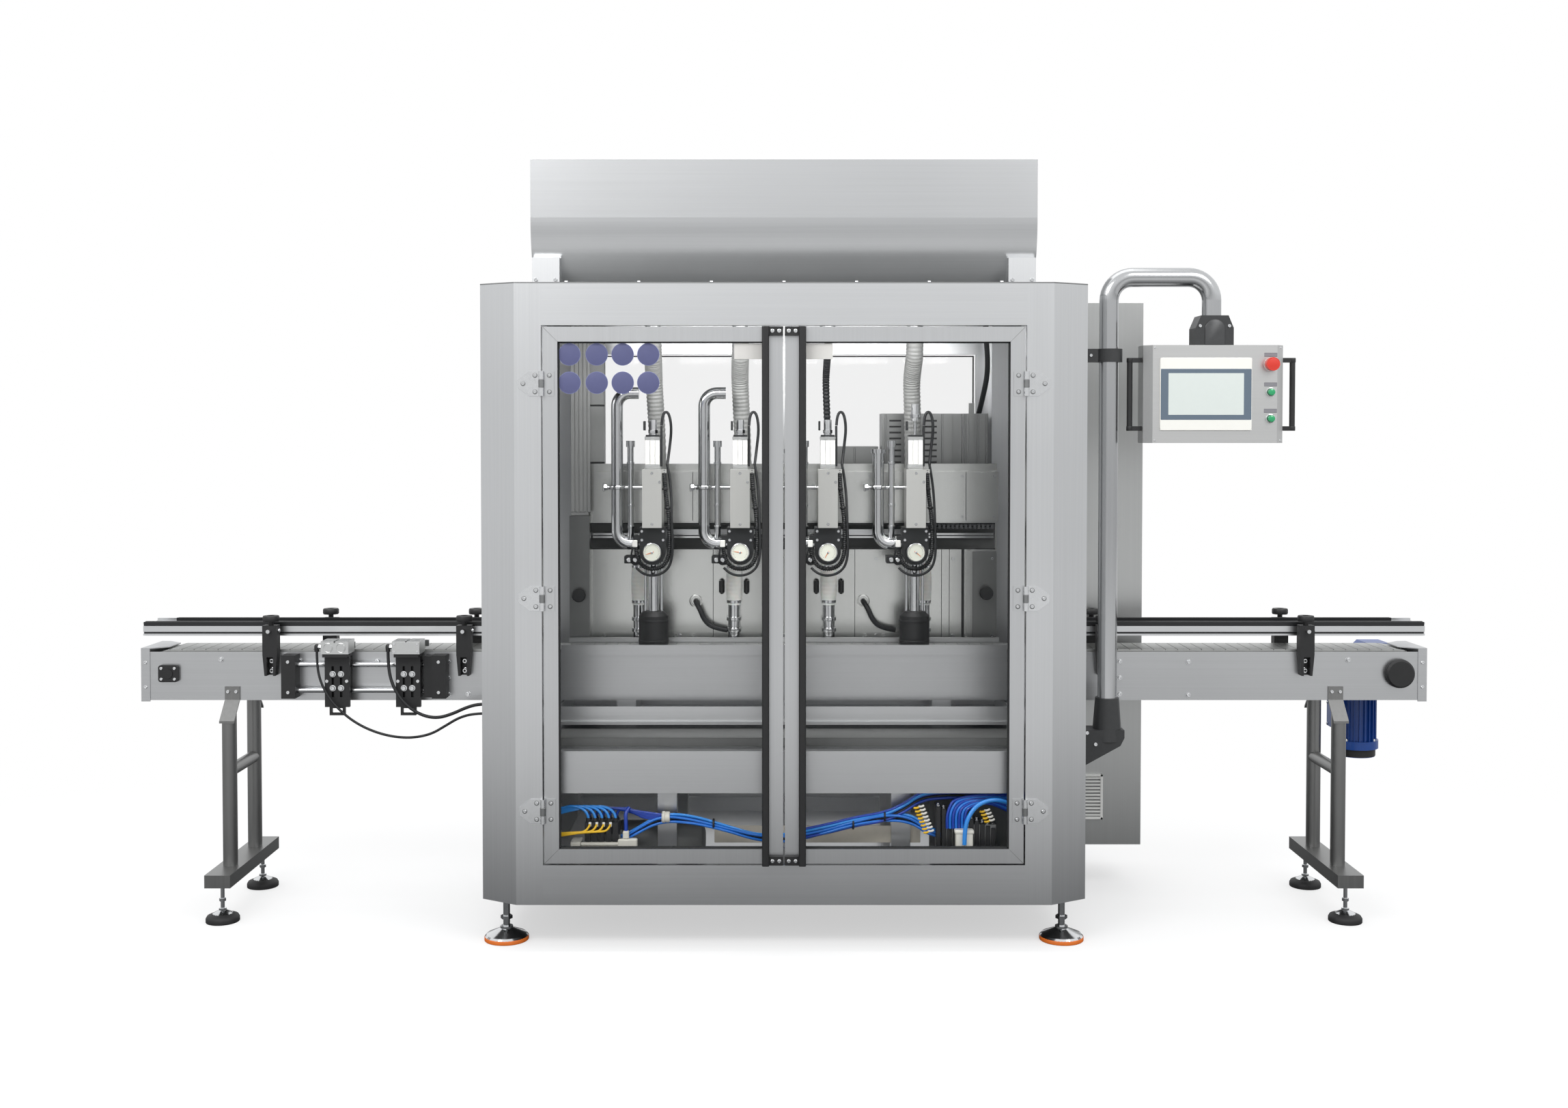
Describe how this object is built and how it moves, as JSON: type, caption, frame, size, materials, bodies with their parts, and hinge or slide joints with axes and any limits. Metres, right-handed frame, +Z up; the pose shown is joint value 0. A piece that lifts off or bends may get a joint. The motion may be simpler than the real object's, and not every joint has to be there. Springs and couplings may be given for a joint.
{
  "type": "tracking filling machine",
  "caption": "Glazed cabinet with a round-bottomed hopper on top and filling heads over a slat chain conveyor, with a control panel on a swing arm.",
  "frame": {"origin": "on the floor, under the middle of the conveyor and of the cabinet", "axes": "+X along the conveyor from infeed to outfeed, +Y to the machine's rear, +Z up"},
  "size_m": [4.08, 0.988, 2.347],
  "materials": {
    "cabinet_sheet": "brushed",
    "stainless": "brushed",
    "bright_steel": "polished",
    "aluminium": "satin",
    "black_plastic": "matte",
    "glass": "clear",
    "chain_slats": "worn",
    "motor_blue": "gloss",
    "dark_paint": "satin",
    "screen_face": "gloss",
    "stop_red": "gloss",
    "button_green": "gloss",
    "cable_jacket": "matte",
    "blue_tube": "gloss",
    "milky_hose": "satin"
  },
  "bodies": {
    "machine": {"base_frame": "cabinet_sheet", "corner_columns": "cabinet_sheet", "cabinet_beams": "cabinet_sheet", "roof_panel": "cabinet_sheet", "side_panels": "cabinet_sheet", "post_hinge_leaves": "stainless", "rear_window_frames": "cabinet_sheet", "rear_window_panes": "glass", "hopper": "stainless", "hopper_saddles": "stainless", "conveyor_side_plates": "stainless", "conveyor_chain": "chain_slats", "conveyor_shafts": "stainless", "shaft_covers": "black_plastic", "conveyor_end_covers": "stainless", "leg_stands": "stainless", "levelling_feet": "bright_steel", "gear_motor": "motor_blue", "rail_brackets": "black_plastic", "stopper_slide": "black_plastic", "stopper_cylinders": "aluminium", "machine_bed": "cabinet_sheet", "drip_tray": "stainless", "rear_deck": "stainless", "riser_sleeves": "milky_hose", "back_panel": "stainless", "tracking_rails": "stainless", "inner_housings": "dark_paint", "air_tubes": "blue_tube", "arm_brackets": "black_plastic", "electrical_cabinet": "dark_paint", "stopper_cable_front": "cable_jacket", "stopper_cable_rear": "cable_jacket"},
    "left_door": {"left_door_frame": "cabinet_sheet", "left_door_pane": "glass", "left_door_grip": "black_plastic"},
    "right_door": {"right_door_frame": "cabinet_sheet", "right_door_pane": "glass", "right_door_grip": "black_plastic"},
    "filling_heads": {"head_carriage": "aluminium", "gauge_blocks": "dark_paint", "head_covers": "aluminium", "head_cylinders": "aluminium", "fill_nozzles": "black_plastic", "head_pipes": "stainless", "head_hoses": "black_plastic"},
    "panel_arm": {"arm_tube": "stainless"},
    "control_panel": {"panel_coupling": "black_plastic", "panel_housing": "aluminium", "panel_screen": "screen_face", "panel_handles": "black_plastic"},
    "stop_button": {"stop_button": "stop_red"},
    "upper_button": {"upper_button": "button_green"},
    "lower_button": {"lower_button": "button_green"},
    "front_stopper": {"stopper_front": "bright_steel"},
    "rear_stopper": {"stopper_rear": "bright_steel"},
    "near_rail_left": {"near_rail_left": "aluminium"},
    "near_rail_right": {"near_rail_right": "aluminium"},
    "far_rail_left": {"far_rail_left": "aluminium"},
    "far_rail_right": {"far_rail_right": "aluminium"}
  },
  "joints": [
    {"name": "left_door_hinge", "type": "hinge", "parent": "machine", "child": "left_door", "pos_m": [-0.7085, -0.4695, 1.037], "axis": [0, 0, -1], "range_deg": [0, 110]},
    {"name": "right_door_hinge", "type": "hinge", "parent": "machine", "child": "right_door", "pos_m": [0.7085, -0.4695, 1.037], "axis": [0, 0, 1], "range_deg": [0, 110]},
    {"name": "tracking_slide", "type": "slide", "parent": "machine", "child": "filling_heads", "axis": [1, 0, 0], "range_m": [-0.11, 0.11]},
    {"name": "arm_swing", "type": "hinge", "parent": "machine", "child": "panel_arm", "pos_m": [0.99, -0.26, 0.69], "axis": [0, 0, 1], "range_deg": [-90, 20]},
    {"name": "panel_swivel", "type": "hinge", "parent": "panel_arm", "child": "control_panel", "pos_m": [1.302, -0.26, 1.868], "axis": [0, 0, 1], "range_deg": [-90, 90]},
    {"name": "stop_button_press", "type": "slide", "parent": "control_panel", "child": "stop_button", "axis": [0, 1, 0], "range_m": [0, 0.004]},
    {"name": "upper_button_press", "type": "slide", "parent": "control_panel", "child": "upper_button", "axis": [0, 1, 0], "range_m": [0, 0.003], "stiffness_N_per_m": 600},
    {"name": "lower_button_press", "type": "slide", "parent": "control_panel", "child": "lower_button", "axis": [0, 1, 0], "range_m": [0, 0.003], "stiffness_N_per_m": 600},
    {"name": "front_stopper_slide", "type": "slide", "parent": "machine", "child": "front_stopper", "axis": [0, 1, 0], "range_m": [0, 0.05]},
    {"name": "rear_stopper_slide", "type": "slide", "parent": "machine", "child": "rear_stopper", "axis": [0, 1, 0], "range_m": [-0.05, 0]},
    {"name": "near_rail_left_slide", "type": "slide", "parent": "machine", "child": "near_rail_left", "axis": [0, 1, 0], "range_m": [-0.014, 0.02]},
    {"name": "near_rail_right_slide", "type": "slide", "parent": "machine", "child": "near_rail_right", "axis": [0, 1, 0], "range_m": [-0.014, 0.02]},
    {"name": "far_rail_left_slide", "type": "slide", "parent": "machine", "child": "far_rail_left", "axis": [0, -1, 0], "range_m": [-0.014, 0.02]},
    {"name": "far_rail_right_slide", "type": "slide", "parent": "machine", "child": "far_rail_right", "axis": [0, -1, 0], "range_m": [-0.014, 0.02]}
  ]
}
